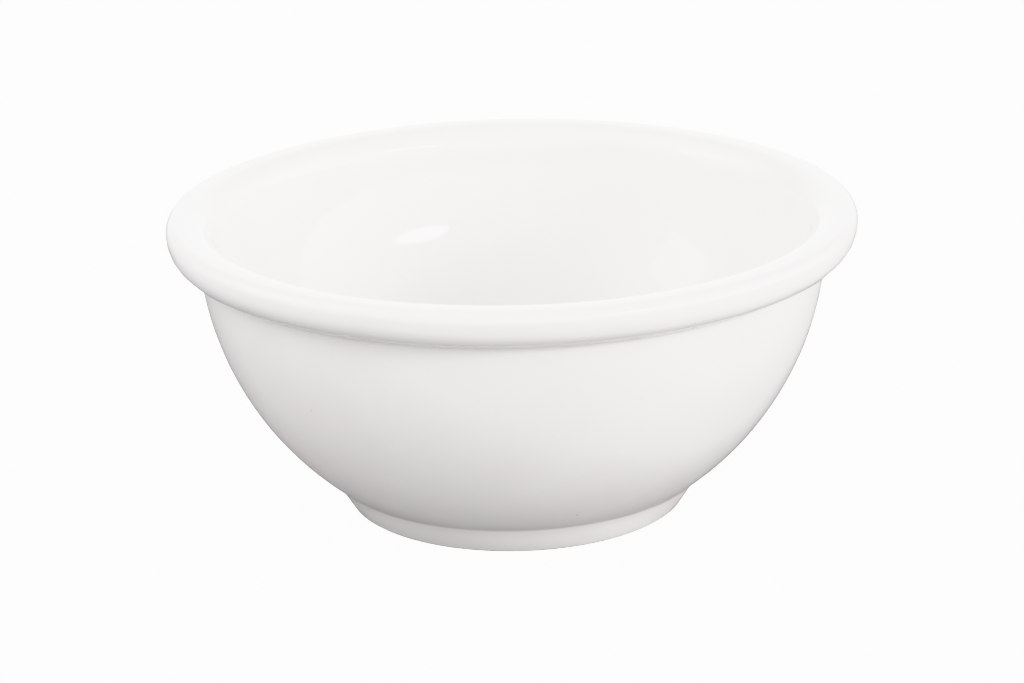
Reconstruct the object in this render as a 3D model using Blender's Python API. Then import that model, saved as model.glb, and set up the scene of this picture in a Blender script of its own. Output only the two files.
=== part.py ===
"""Shaving bowl: a low round bowl of glazed porcelain, one fired piece turned about +Z.

Metres, +Z up. The origin is the centre of the circle that the foot ring stands on.
The section is drawn once, in the plane of radius and height, and spun round the axis.
"""

import math

import bmesh
import bpy

# Rim: a solid roll of clay that overhangs the body all round.
RIM_RADIUS = 0.0625
HEIGHT = 0.055
RIM_DEPTH = 0.0073
RIM_TOP_ROUNDING = 0.0019
RIM_UNDER_ROUNDING = 0.0049
RIM_INNER_ROLL = 0.0044

# Body: its outside lies on a sphere.
BODY_RADIUS = 0.0569
BODY_CENTRE_HEIGHT = 0.051
NECK_FILLET = 0.0005

# Inside: a smaller sphere about a higher centre, so the wall thickens from 3 mm under the rim
# to 8 mm at the floor, which is flat and turned up into the wall by one arc.
INSIDE_RADIUS = 0.0544
INSIDE_CENTRE_HEIGHT = 0.057
FLOOR_THICKNESS = 0.0045
FLOOR_CORNER = 0.020

# Foot: a ring that narrows downwards, with a shallow recess under the floor.
FOOT_HEIGHT = 0.0054
FOOT_RADIUS = 0.0306
FOOT_FILLET = 0.0022
FOOT_EDGE_ROUNDING = 0.0006
STANDING_FACE_WIDTH = 0.0030
RECESS_DEPTH = 0.0022

# Facets: steps round the axis, and the angle that one step turns through on each arc.
STEPS_AROUND = 64
WALL_STEP = math.radians(6)
FLOOR_CORNER_STEP = math.radians(9)
RIM_INNER_STEP = math.radians(14)
RIM_TOP_STEP = math.radians(20)
RIM_UNDER_STEP = math.radians(15)
NECK_STEP = math.radians(40)
FOOT_FILLET_STEP = math.radians(20)
FOOT_EDGE_STEP = math.radians(30)
STEP_TOLERANCE = 1e-6
MERGE_DISTANCE = 1e-6
SHARP_ANGLE = math.radians(40)

GLAZE_COLOUR = (0.86, 0.855, 0.845, 1.0)
GLAZE_ROUGHNESS = 0.12


def arc(centre, radius, start, end, step):
    """Points along an arc about a centre, from one angle to another, both ends included."""
    count = max(1, math.ceil(abs(end - start) / step - STEP_TOLERANCE))
    angles = [start + (end - start) * i / count for i in range(count + 1)]
    return [(centre[0] + radius * math.cos(a), centre[1] + radius * math.sin(a)) for a in angles]


def angle_to(origin, target):
    """Direction from one point of the section to another."""
    return math.atan2(target[1] - origin[1], target[0] - origin[0])


def level_on_circle(centre, radius, height):
    """The point at a given height where a circle is furthest from the axis."""
    return (centre[0] + math.sqrt(radius**2 - (height - centre[1]) ** 2), height)


def on_circle_along(start, direction, centre, radius):
    """The first point of a circle that a line from start meets on its way."""
    to_start = (start[0] - centre[0], start[1] - centre[1])
    half_b = to_start[0] * direction[0] + to_start[1] * direction[1]
    c = to_start[0] ** 2 + to_start[1] ** 2 - radius**2
    along = -half_b - math.sqrt(half_b**2 - c)
    return (start[0] + direction[0] * along, start[1] + direction[1] * along)


def inside_points():
    """Section of the inside, from the middle of the floor up to the top of the rim."""
    centre = (0, INSIDE_CENTRE_HEIGHT)
    floor_height = RECESS_DEPTH + FLOOR_THICKNESS
    corner_height = floor_height + FLOOR_CORNER
    corner = level_on_circle(centre, INSIDE_RADIUS - FLOOR_CORNER, corner_height)
    roll = level_on_circle(centre, INSIDE_RADIUS + RIM_INNER_ROLL, HEIGHT - RIM_INNER_ROLL)
    wall_start = angle_to(centre, corner)
    wall_end = angle_to(centre, roll)
    points = [(0, floor_height)]
    points += arc(corner, FLOOR_CORNER, math.radians(-90), wall_start, FLOOR_CORNER_STEP)
    points += arc(centre, INSIDE_RADIUS, wall_start, wall_end, WALL_STEP)[1:]
    points += arc(roll, RIM_INNER_ROLL, wall_end + math.pi, math.radians(90), RIM_INNER_STEP)[1:]
    return points


def rim_points():
    """Section of the rim's outer side, from its top round to its underside."""
    top = (RIM_RADIUS - RIM_TOP_ROUNDING, HEIGHT - RIM_TOP_ROUNDING)
    under = (RIM_RADIUS - RIM_UNDER_ROUNDING, HEIGHT - RIM_DEPTH + RIM_UNDER_ROUNDING)
    points = arc(top, RIM_TOP_ROUNDING, math.radians(90), 0, RIM_TOP_STEP)
    points += arc(under, RIM_UNDER_ROUNDING, 0, math.radians(-90), RIM_UNDER_STEP)
    return points


def body_and_foot_points(body_centre):
    """Section of the outside below the rim: neck, body, foot side and its lower edge."""
    neck_height = HEIGHT - RIM_DEPTH
    neck = level_on_circle(body_centre, BODY_RADIUS + NECK_FILLET, neck_height - NECK_FILLET)
    crease = level_on_circle(body_centre, BODY_RADIUS, FOOT_HEIGHT)

    side_length = math.hypot(crease[0] - FOOT_RADIUS, crease[1])
    side = ((crease[0] - FOOT_RADIUS) / side_length, crease[1] / side_length)
    side_normal = (side[1], -side[0])
    side_angle = math.atan2(side_normal[1], side_normal[0])

    offset_foot = (FOOT_RADIUS + side_normal[0] * FOOT_FILLET, side_normal[1] * FOOT_FILLET)
    fillet = on_circle_along(offset_foot, side, body_centre, BODY_RADIUS + FOOT_FILLET)
    edge_inset = FOOT_EDGE_ROUNDING * (1 + side_normal[1]) / side_normal[0]
    edge = (FOOT_RADIUS - edge_inset, FOOT_EDGE_ROUNDING)

    neck_angle = angle_to(body_centre, neck)
    crease_angle = angle_to(body_centre, fillet)
    points = arc(neck, NECK_FILLET, math.radians(90), neck_angle + math.pi, NECK_STEP)
    points += arc(body_centre, BODY_RADIUS, neck_angle, crease_angle, WALL_STEP)[1:]
    points += arc(fillet, FOOT_FILLET, crease_angle + math.pi, side_angle + math.pi, FOOT_FILLET_STEP)[1:]
    points += arc(edge, FOOT_EDGE_ROUNDING, side_angle, math.radians(-90), FOOT_EDGE_STEP)
    return points


def underside_points(standing_outer_radius):
    """Section under the foot: standing face, its inner edge and the recess, in to the axis."""
    inner_edge = (standing_outer_radius - STANDING_FACE_WIDTH, FOOT_EDGE_ROUNDING)
    cove_radius = RECESS_DEPTH - FOOT_EDGE_ROUNDING
    cove = (inner_edge[0] - FOOT_EDGE_ROUNDING - cove_radius, FOOT_EDGE_ROUNDING)
    points = arc(inner_edge, FOOT_EDGE_ROUNDING, math.radians(-90), math.radians(-180), FOOT_EDGE_STEP)
    points += arc(cove, cove_radius, 0, math.radians(90), FOOT_EDGE_STEP)[1:]
    points.append((0, RECESS_DEPTH))
    return points


def bowl_section():
    """The whole section, from the floor's middle, over the rim and back to the axis underneath."""
    body_centre = (0, BODY_CENTRE_HEIGHT)
    outside = body_and_foot_points(body_centre)
    standing_outer_radius = outside[-1][0]
    return inside_points() + rim_points() + outside + underside_points(standing_outer_radius)


def spin_section(name, section, steps):
    """A closed solid: the section turned once round +Z, its seam and its poles merged."""
    mesh = bpy.data.meshes.new(name)
    bm = bmesh.new()
    verts = [bm.verts.new((radius, 0, height)) for radius, height in section]
    edges = [bm.edges.new(pair) for pair in zip(verts, verts[1:])]
    bmesh.ops.spin(bm, geom=verts + edges, cent=(0, 0, 0), axis=(0, 0, 1), angle=math.tau, steps=steps)
    bmesh.ops.remove_doubles(bm, verts=bm.verts, dist=MERGE_DISTANCE)
    bmesh.ops.recalc_face_normals(bm, faces=bm.faces)
    bm.to_mesh(mesh)
    bm.free()
    mesh.shade_smooth()
    mesh.set_sharp_from_angle(angle=SHARP_ANGLE)
    return mesh


def glaze_material():
    """White glaze fired onto porcelain."""
    material = bpy.data.materials.new("white_glaze")
    material.use_nodes = True
    shader = material.node_tree.nodes["Principled BSDF"]
    shader.inputs["Base Color"].default_value = GLAZE_COLOUR
    shader.inputs["Roughness"].default_value = GLAZE_ROUGHNESS
    shader.inputs["Metallic"].default_value = 0.0
    return material


for leftover in list(bpy.data.objects):
    bpy.data.objects.remove(leftover)

bowl_mesh = spin_section("bowl", bowl_section(), STEPS_AROUND)
bowl_mesh.materials.append(glaze_material())
bowl = bpy.data.objects.new("bowl", bowl_mesh)
bowl.location = (0, 0, 0)
bpy.context.scene.collection.objects.link(bowl)
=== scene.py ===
import math

import bpy
from mathutils import Matrix, Vector


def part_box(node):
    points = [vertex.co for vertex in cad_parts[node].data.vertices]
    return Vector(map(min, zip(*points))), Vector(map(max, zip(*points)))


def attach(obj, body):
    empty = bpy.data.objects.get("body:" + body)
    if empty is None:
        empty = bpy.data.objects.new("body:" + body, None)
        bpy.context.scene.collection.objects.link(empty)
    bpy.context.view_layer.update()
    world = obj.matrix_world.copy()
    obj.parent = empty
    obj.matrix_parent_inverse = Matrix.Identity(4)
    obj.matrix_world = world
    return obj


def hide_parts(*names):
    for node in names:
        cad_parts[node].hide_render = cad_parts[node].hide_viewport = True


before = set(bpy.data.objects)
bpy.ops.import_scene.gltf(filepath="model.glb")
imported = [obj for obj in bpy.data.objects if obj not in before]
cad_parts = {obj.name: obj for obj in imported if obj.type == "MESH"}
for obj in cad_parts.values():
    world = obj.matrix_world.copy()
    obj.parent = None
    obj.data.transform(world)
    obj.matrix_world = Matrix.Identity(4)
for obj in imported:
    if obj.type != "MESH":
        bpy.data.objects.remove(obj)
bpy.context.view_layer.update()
bowl_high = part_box("bowl")[1]

# The bowl: one low round bowl of white porcelain, turned in a plaster mould against a template and
# dipped in clear glaze. The template is drawn here as one line, from the middle of the floor up the
# wall, over the rim, down the outside and in under the foot, and is then swept once round the axis.
rim_radius = bowl_high.x
rim_height = bowl_high.z
rim_depth = 0.0073
rim_top_rounding = 0.0019
rim_under_rounding = 0.0049
rim_inner_roll = 0.0044
body_radius = 0.0569
body_centre = (0, 0.051)
inside_radius = 0.0544
inside_centre = (0, 0.057)
neck_fillet = 0.0005
floor_height = 0.0067
floor_corner = 0.020
foot_height = 0.0054
foot_radius = 0.0306
foot_fillet = 0.0022
foot_edge_rounding = 0.0003
standing_face = 0.0030
recess_depth = 0.0022
recess_cove = 0.0016
glaze_thickness = 0.00025
glaze_line = 0.0004
longest_facet = 0.0012
fewest_facets = 6
facets_around = 288
merge_distance = 0.000001


def point_on(centre, radius, angle):
    """The point of the template at an angle round a centre."""
    return (centre[0] + radius * math.cos(angle), centre[1] + radius * math.sin(angle))


def angle_of(centre, point):
    """The angle at which a centre sees a point."""
    return math.atan2(point[1] - centre[1], point[0] - centre[0])


def out_at_height(centre, radius, height):
    """The point of a circle about a centre that is furthest out at a height."""
    return (centre[0] + math.sqrt(radius**2 - (height - centre[1]) ** 2), height)


def start_line(start):
    """Starts the template: a small plane merged to one point, left in edit mode."""
    bpy.ops.object.select_all(action="DESELECT")
    bpy.ops.mesh.primitive_plane_add(size=longest_facet, location=(0, 0, 0))
    bpy.ops.object.mode_set(mode="EDIT")
    bpy.ops.mesh.merge(type="CENTER")
    bpy.ops.transform.translate(value=(start[0], 0, start[1]))
    return start


def line_to(start, end):
    """Pulls the free end of the template straight to a new point, a facet at a time."""
    length = math.dist(start, end)
    count = math.ceil(length / longest_facet)
    step = ((end[0] - start[0]) / count, 0, (end[1] - start[1]) / count)
    for _ in range(count):
        bpy.ops.mesh.extrude_region_move(TRANSFORM_OT_translate={"value": step})
    return end


def arc_about(start, centre, sweep):
    """Swings the free end of the template round a centre; a positive sweep turns from out to up."""
    radius = math.dist(start, centre)
    count = max(fewest_facets, math.ceil(abs(sweep) * radius / longest_facet))
    bpy.ops.mesh.spin(steps=count, angle=sweep, center=(centre[0], 0, centre[1]), axis=(0, 1, 0))
    return point_on(centre, radius, angle_of(centre, start) + sweep)


# Inside: a flat floor, a broad corner, the round wall, and the roll into the rim.
corner = out_at_height(inside_centre, inside_radius - floor_corner, floor_height + floor_corner)
roll = out_at_height(inside_centre, inside_radius + rim_inner_roll, rim_height - rim_inner_roll)
wall_start = angle_of(inside_centre, corner)
wall_end = angle_of(inside_centre, roll)
pen = start_line((0, floor_height))
pen = line_to(pen, (corner[0], floor_height))
pen = arc_about(pen, corner, wall_start + math.pi / 2)
pen = arc_about(pen, inside_centre, wall_end - wall_start)
pen = arc_about(pen, roll, -math.pi / 2 - wall_end)

# Rim: over the top, round the outer side and back under to the neck.
rim_top = (rim_radius - rim_top_rounding, rim_height - rim_top_rounding)
rim_under = (rim_radius - rim_under_rounding, rim_height - rim_depth + rim_under_rounding)
neck = out_at_height(body_centre, body_radius + neck_fillet, rim_height - rim_depth - neck_fillet)
neck_angle = angle_of(body_centre, neck)
pen = line_to(pen, (rim_top[0], rim_height))
pen = arc_about(pen, rim_top, -math.pi / 2)
pen = line_to(pen, (rim_radius, rim_under[1]))
pen = arc_about(pen, rim_under, -math.pi / 2)
pen = line_to(pen, (neck[0], rim_height - rim_depth))
pen = arc_about(pen, neck, math.pi / 2 + neck_angle)

# Outside and foot: the body's curve, the crease above the foot, and the foot's side, which leans in.
crease = out_at_height(body_centre, body_radius, foot_height)
side_angle = angle_of((foot_radius, 0), crease)
side_out = side_angle - math.pi / 2
fillet_line = point_on((foot_radius, 0), foot_fillet, side_out)
to_line = math.dist(fillet_line, body_centre)
across = to_line * math.sin(angle_of(fillet_line, body_centre) - side_angle)
along = to_line * math.cos(angle_of(fillet_line, body_centre) - side_angle)
reach = along - math.sqrt((body_radius + foot_fillet) ** 2 - across**2)
fillet = point_on(fillet_line, reach, side_angle)
fillet_angle = angle_of(body_centre, fillet)
pen = arc_about(pen, body_centre, fillet_angle - neck_angle)
pen = arc_about(pen, fillet, side_out - fillet_angle)

# Under the foot: the glaze ends in a small lip, the clay below it stands bare on a ground flat ring,
# and a shallow recess inside the ring is glazed again.
lip_outside = point_on((foot_radius, 0), glaze_line / math.sin(side_angle), side_angle)
lip_centre = point_on(lip_outside, glaze_thickness, side_out + math.pi)
pen = line_to(pen, lip_outside)
pen = arc_about(pen, lip_centre, -math.pi / 2)
pen = line_to(pen, (lip_centre[0] - glaze_thickness * math.cos(side_angle), foot_edge_rounding))
standing_outer = pen[0] - foot_edge_rounding
standing_inner = standing_outer - standing_face
pen = arc_about(pen, (standing_outer, foot_edge_rounding), -math.pi / 2)
pen = line_to(pen, (standing_inner, 0))
pen = arc_about(pen, (standing_inner, foot_edge_rounding), -math.pi / 2)
pen = line_to(pen, (pen[0], recess_depth - recess_cove))
pen = arc_about(pen, (pen[0] - recess_cove, pen[1]), math.pi / 2)
pen = line_to(pen, (0, recess_depth))

bpy.ops.mesh.select_all(action="SELECT")
bpy.ops.mesh.spin(steps=facets_around, angle=math.tau, center=(0, 0, 0), axis=(0, 0, 1))
bpy.ops.mesh.select_all(action="SELECT")
bpy.ops.mesh.remove_doubles(threshold=merge_distance)
bpy.ops.mesh.normals_make_consistent(inside=False)
bpy.ops.mesh.select_all(action="DESELECT")
bpy.ops.object.mode_set(mode="OBJECT")
bowl = bpy.context.object
bowl.name = "porcelain_bowl"
bpy.ops.object.transform_apply(location=True, rotation=True, scale=True)

# The turned clay is never quite true: a slow ripple of a tenth of a millimetre runs over everything
# but the foot ring, which was ground flat after the firing.
ripple_width = 0.028
ripple_depth = 0.00022
ripple_foot = foot_height / 2
ripple_middle = 0.5
smoothed_under = math.radians(40)
for vertex in bowl.data.vertices:
    vertex.select = vertex.co.z > ripple_foot
bpy.ops.object.mode_set(mode="EDIT")
bpy.ops.object.vertex_group_add()
bpy.ops.object.vertex_group_assign()
bpy.ops.object.mode_set(mode="OBJECT")
ripple = bowl.modifiers.new("slow ripple", "DISPLACE")
ripple.texture = bpy.data.textures.new("slow ripple", "CLOUDS")
ripple.texture.noise_scale = ripple_width
ripple.strength = ripple_depth
ripple.mid_level = ripple_middle
ripple.texture_coords = "LOCAL"
ripple.vertex_group = bowl.vertex_groups[0].name
bpy.ops.object.modifier_apply(modifier=ripple.name)
bpy.ops.object.shade_smooth_by_angle(angle=smoothed_under)

# Clear glaze over the white body. Its colour is painted darker and warmer in the neck, in the crease
# above the
# foot and in the recess: partly the thicker glaze that ran there, and partly painted shade, strongest
# in the neck under the rim. It has the faint orange peel, the hand smudges and the few iron specks of
# a glaze that has been fired and used.
body_white = (0.866, 0.857, 0.849, 1)
cloud_white = (0.842, 0.830, 0.820, 1)
cloud_width = 0.022
cloud_edges = (0.42, 0.70)
cloud_strength = 0.6
glaze_ior = 1.5
glaze_roughness = 0.055


class Wire:
    """A socket of a node tree: sums, products and powers of wires add Math nodes of their own."""

    def __init__(self, tree, socket=None):
        self.tree = tree
        self.socket = socket

    def make(self, kind, settings=None, inputs=None, output=0):
        """Adds a node, sets it, then fills or links its sockets, and gives back one output."""
        node = self.tree.nodes.new(kind)
        for name, value in (settings or {}).items():
            setattr(node, name, value)
        for name, value in (inputs or {}).items():
            if isinstance(value, Wire):
                self.tree.links.new(value.socket, node.inputs[name])
            else:
                node.inputs[name].default_value = value
        return Wire(self.tree, node.outputs[output])

    def math(self, operation, first, second):
        """One Math node on two values."""
        return self.make("ShaderNodeMath", {"operation": operation}, {0: first, 1: second})

    def __add__(self, other):
        return self.math("ADD", self, other)

    def __radd__(self, other):
        return self.math("ADD", other, self)

    def __sub__(self, other):
        return self.math("SUBTRACT", self, other)

    def __rsub__(self, other):
        return self.math("SUBTRACT", other, self)

    def __mul__(self, other):
        return self.math("MULTIPLY", self, other)

    def __rmul__(self, other):
        return self.math("MULTIPLY", other, self)

    def __pow__(self, other):
        return self.math("POWER", self, other)

    def ramp(self, low, high):
        """0 where this value is below low, 1 above high, and a smooth step between them."""
        limits = {"Value": self, "From Min": low, "From Max": high}
        return self.make("ShaderNodeMapRange", {"interpolation_type": "SMOOTHSTEP"}, limits)

    def noise(self, place, width, detail=2.0):
        """Soft noise about 0.5, with lumps of the given width in metres."""
        lumps = {"Vector": place, "Scale": 1 / width, "Detail": detail}
        return self.make("ShaderNodeTexNoise", None, lumps)

    def blend(self, factor, first, second):
        """A colour between two colours, which are sockets 6 and 7 of a Mix node."""
        mixed = {"Factor": factor, 6: first, 7: second}
        return self.make("ShaderNodeMix", {"data_type": "RGBA"}, mixed, output=2)

    def drive(self, name):
        """Links this value to a socket of the material's shader."""
        self.tree.links.new(self.socket, self.tree.nodes["Principled BSDF"].inputs[name])


def new_material(name):
    """A material, and the wire and the place on the piece that its pattern starts from."""
    material = bpy.data.materials.new(name)
    material.use_nodes = True
    wire = Wire(material.node_tree)
    place = wire.make("ShaderNodeTexCoord", output="Object")
    return material, wire, place


glaze, wire, place = new_material("clear glaze on white porcelain")
glaze.node_tree.nodes["Principled BSDF"].inputs["IOR"].default_value = glaze_ior
clouds = wire.noise(place, cloud_width).ramp(*cloud_edges)
colour = wire.blend(clouds * cloud_strength, body_white, cloud_white)

# Pools and painted shade: rings darkened at the neck, the crease and the recess, partly for thicker
# glaze and partly as painted shade, each with its reach from the ring's middle line and its strength.
pool_and_shade_colour = (0.700, 0.645, 0.630, 1)
neck_reach = 0.0013
neck_strength = 0.8
crease_reach = 0.0026
crease_strength = 0.25
recess_reach = 0.0030
recess_strength = 0.4
height = wire.make("ShaderNodeSeparateXYZ", None, {"Vector": place}, output="Z")
across_x = wire.make("ShaderNodeSeparateXYZ", None, {"Vector": place}, output="X")
across_y = wire.make("ShaderNodeSeparateXYZ", None, {"Vector": place}, output="Y")
radius = (across_x * across_x + across_y * across_y) ** 0.5


def pooled_and_shaded_near(ring, reach):
    """1 on a ring of the surface, given as radius and height, falling to 0 at its reach."""
    out = radius - ring[0]
    up = height - ring[1]
    return 1 - ((out * out + up * up) ** 0.5).ramp(0.0, reach)


neck_pool_and_shade = pooled_and_shaded_near((neck[0] - neck_fillet, rim_height - rim_depth), neck_reach)
crease_pool_and_shade = pooled_and_shaded_near(crease, crease_reach)
recess_pool_and_shade = pooled_and_shaded_near((standing_inner - recess_cove, recess_depth), recess_reach)
pools_and_painted_shade = neck_pool_and_shade * neck_strength + crease_pool_and_shade * crease_strength + recess_pool_and_shade * recess_strength
# Painted shade, with a little pooled glaze tint: these rings darken the glaze colour in the hollows.
colour = wire.blend(pools_and_painted_shade, colour, pool_and_shade_colour)

# Iron specks: small and far apart all over, and one larger one low on the front.
speck_brown = (0.42, 0.36, 0.30, 1)
speck_strength = 0.7
speck_spacing = 0.0075
speck_radius = 0.00016
speck_core = 0.4
front_speck = (0.0103, -0.0375, 0.0095)
front_speck_edges = (0.0001, 0.00026)
speck_cells = {"Vector": place, "Scale": 1 / speck_spacing}
speck_distance = wire.make("ShaderNodeTexVoronoi", None, speck_cells, output="Distance")
speck_edge = speck_radius / speck_spacing
specks = 1 - speck_distance.ramp(speck_core * speck_edge, speck_edge)
apart = {"operation": "DISTANCE"}
front_distance = wire.make("ShaderNodeVectorMath", apart, {0: place, 1: front_speck}, output="Value")
specks = specks + (1 - front_distance.ramp(*front_speck_edges))
colour = wire.blend(specks * speck_strength, colour, speck_brown)
colour.drive("Base Color")

# Gloss: smudges from hands, and a dull spot on every speck.
smudge_width = 0.012
smudge_edges = (0.45, 0.75)
smudge_roughness = 0.05
speck_roughness = 0.10
smudges = wire.noise(place, smudge_width, detail=4.0).ramp(*smudge_edges)
roughness = glaze_roughness + smudges * smudge_roughness + specks * speck_roughness
roughness.drive("Roughness")

# Relief: fine orange peel, a slow sag of the melted glaze, and a pinhole in every speck.
peel_width = 0.0016
peel_depth = 0.0000022
sag_width = 0.009
sag_depth = 0.000020
pinhole_depth = 0.00004
peel = wire.noise(place, peel_width, detail=1.0) * peel_depth
sag = wire.noise(place, sag_width, detail=1.0) * sag_depth
pinholes = specks * pinhole_depth
relief = wire.make("ShaderNodeBump", None, {"Distance": 1.0, "Height": peel + sag - pinholes})
relief.drive("Normal")

# The ground foot ring: bare vitrified clay, dry and ivory, with the grain of the sanding and the
# grey scuffs of the shelves that it has stood on.
clay_ivory = (0.78, 0.74, 0.67, 1)
clay_grain = (0.66, 0.61, 0.53, 1)
clay_roughness = 0.80
grain_width = 0.00045
grain_edges = (0.4, 0.7)
grain_depth = 0.00004
scuff_grey = (0.46, 0.45, 0.43, 1)
scuff_width = 0.0035
scuff_edges = (0.56, 0.66)
scuff_strength = 0.55
scuff_polish = 0.12
clay, wire, place = new_material("bare fired clay")
grain = wire.noise(place, grain_width, detail=4.0)
scuffs = wire.noise(place, scuff_width, detail=6.0).ramp(*scuff_edges)
colour = wire.blend(grain.ramp(*grain_edges), clay_ivory, clay_grain)
colour = wire.blend(scuffs * scuff_strength, colour, scuff_grey)
colour.drive("Base Color")
roughness = clay_roughness - scuffs * scuff_polish
roughness.drive("Roughness")
relief = wire.make("ShaderNodeBump", None, {"Distance": 1.0, "Height": grain * grain_depth})
relief.drive("Normal")

bowl.data.materials.append(glaze)
bowl.data.materials.append(clay)
for face in bowl.data.polygons:
    from_axis = math.hypot(face.center.x, face.center.y)
    on_ring = from_axis > standing_inner - 2 * foot_edge_rounding
    face.material_index = 1 if on_ring and face.center.z < glaze_line else 0
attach(bowl, "root")
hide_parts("bowl")

# The set: the bowl stands on a dull grey bench, which throws a little light up under it. On the
# bench, for the eye alone, lies white paper, in a white tent that glows evenly all round.
set_radius = 3.0
edge_facets = 96
tent_segments = 64
tent_rings = 32
dull_roughness = 0.9
bench_drop = 0.0005
bench_grey = (0.358, 0.349, 0.351, 1)
paper_white = (0.85, 0.85, 0.85, 1)
paper_glow = 2.6
tent_black = (0, 0, 0, 1)
tent_glow = 3.6
glow_white = (1, 1, 1, 1)
unseen_by_light = ("diffuse", "glossy", "transmission", "volume_scatter", "shadow")


def plain_finish(piece, name, colour, glow):
    finish = bpy.data.materials.new(name)
    finish.use_nodes = True
    shader = finish.node_tree.nodes["Principled BSDF"]
    shader.inputs["Base Color"].default_value = colour
    shader.inputs["Roughness"].default_value = dull_roughness
    shader.inputs["Specular IOR Level"].default_value = 0.0
    shader.inputs["Emission Color"].default_value = glow_white
    shader.inputs["Emission Strength"].default_value = glow
    piece.name = name
    piece.data.materials.append(finish)


def lay_disc(height):
    """Lays a flat round sheet as wide as the set at a height, and gives it back."""
    bpy.ops.object.select_all(action="DESELECT")
    bpy.ops.mesh.primitive_circle_add(vertices=edge_facets, radius=set_radius, fill_type="NGON")
    bpy.context.object.location.z = height
    return bpy.context.object


bench = lay_disc(-bench_drop)
bench.visible_camera = False
plain_finish(bench, "bench", bench_grey, 0.0)
paper = lay_disc(0)
plain_finish(paper, "white_paper", paper_white, paper_glow)

bpy.ops.object.select_all(action="DESELECT")
bpy.ops.mesh.primitive_uv_sphere_add(segments=tent_segments, ring_count=tent_rings, radius=set_radius)
tent = bpy.context.object
plain_finish(tent, "white_tent", tent_black, tent_glow)
for piece in (paper, tent):
    for ray in unseen_by_light:
        setattr(piece, "visible_" + ray, False)

# Light: a cloth tent lit from outside, low down all round and brightest on the right, and high up on
# the left. Each glow is an azimuth in degrees, from straight behind the bowl and then round by the
# right, an elevation in degrees, and a strength.
tent_glows = [
    (0, 8, 2.77),
    (90, 8, 4.53),
    (135, 8, 2.05),
    (180, 8, 2.52),
    (270, 8, 1.30),
    (270, 45, 2.77),
]
glow_focus = 6


def direction(azimuth, elevation):
    """The way from the bowl towards an azimuth and an elevation in degrees."""
    level = math.cos(math.radians(elevation))
    east = math.sin(math.radians(azimuth))
    north = math.cos(math.radians(azimuth))
    return (level * east, level * north, math.sin(math.radians(elevation)))


world = bpy.data.worlds.new("cloth tent")
bpy.context.scene.world = world
world.use_nodes = True
world.node_tree.nodes["Background"].inputs["Color"].default_value = glow_white
wire = Wire(world.node_tree)
seen_way = wire.make("ShaderNodeTexCoord", output="Generated")
tent_light = 0.0
for azimuth, elevation, strength in tent_glows:
    facing = {0: seen_way, 1: direction(azimuth, elevation)}
    towards = wire.make("ShaderNodeVectorMath", {"operation": "DOT_PRODUCT"}, facing, output="Value")
    tent_light = tent_light + strength * towards.math("MAXIMUM", towards, 0.0) ** glow_focus
world.node_tree.links.new(tent_light.socket, world.node_tree.nodes["Background"].inputs["Strength"])

# Two lamps leave the small bright marks on the glaze: a long oval one in front on the right, which
# marks the inside twice, and a broad soft box on the left.
lamp_aim = Vector((0, 0, 0.03))
lamp_distance = 1.2


def add_lamp(name, shape, azimuth, elevation, width, length, power):
    """A flat lamp on a stand, turned to the bowl and left out of the picture itself."""
    way = Vector(direction(azimuth, elevation))
    turn = way.to_track_quat("Z", "Y").to_euler()
    bpy.ops.object.select_all(action="DESELECT")
    bpy.ops.object.light_add(type="AREA", location=lamp_aim + way * lamp_distance, rotation=turn)
    lamp = bpy.context.object
    lamp.name = name
    lamp.data.shape = shape
    lamp.data.size = width
    lamp.data.size_y = length
    lamp.data.energy = power
    lamp.visible_camera = False


add_lamp("oval_lamp", "ELLIPSE", azimuth=138, elevation=28, width=0.50, length=0.11, power=2.2)
add_lamp("left_soft_box", "RECTANGLE", azimuth=266, elevation=27.5, width=0.50, length=0.34, power=1.2)

# Camera: a long lens straight in front of the bowl and well above it, which looks down into it and is
# held a little out of level.
sensor_width = 36
lens_length = 126.56
camera_distance = 0.6248
camera_height = 0.2393
camera_pitch = math.radians(18.584)
camera_yaw = math.radians(-0.041)
camera_roll = math.radians(1.282)
bpy.ops.object.select_all(action="DESELECT")
bpy.ops.object.camera_add(location=(0, -camera_distance, camera_height))
camera = bpy.context.object
camera.data.sensor_width = sensor_width
camera.data.lens = lens_length
sideways = Matrix.Rotation(-camera_yaw, 4, "Z")
downwards = Matrix.Rotation(math.pi / 2 - camera_pitch, 4, "X")
askew = Matrix.Rotation(-camera_roll, 4, "Z")
camera.matrix_world = Matrix.Translation(camera.location) @ sideways @ downwards @ askew
bpy.context.scene.camera = camera
bpy.context.scene.view_settings.view_transform = "Khronos PBR Neutral"
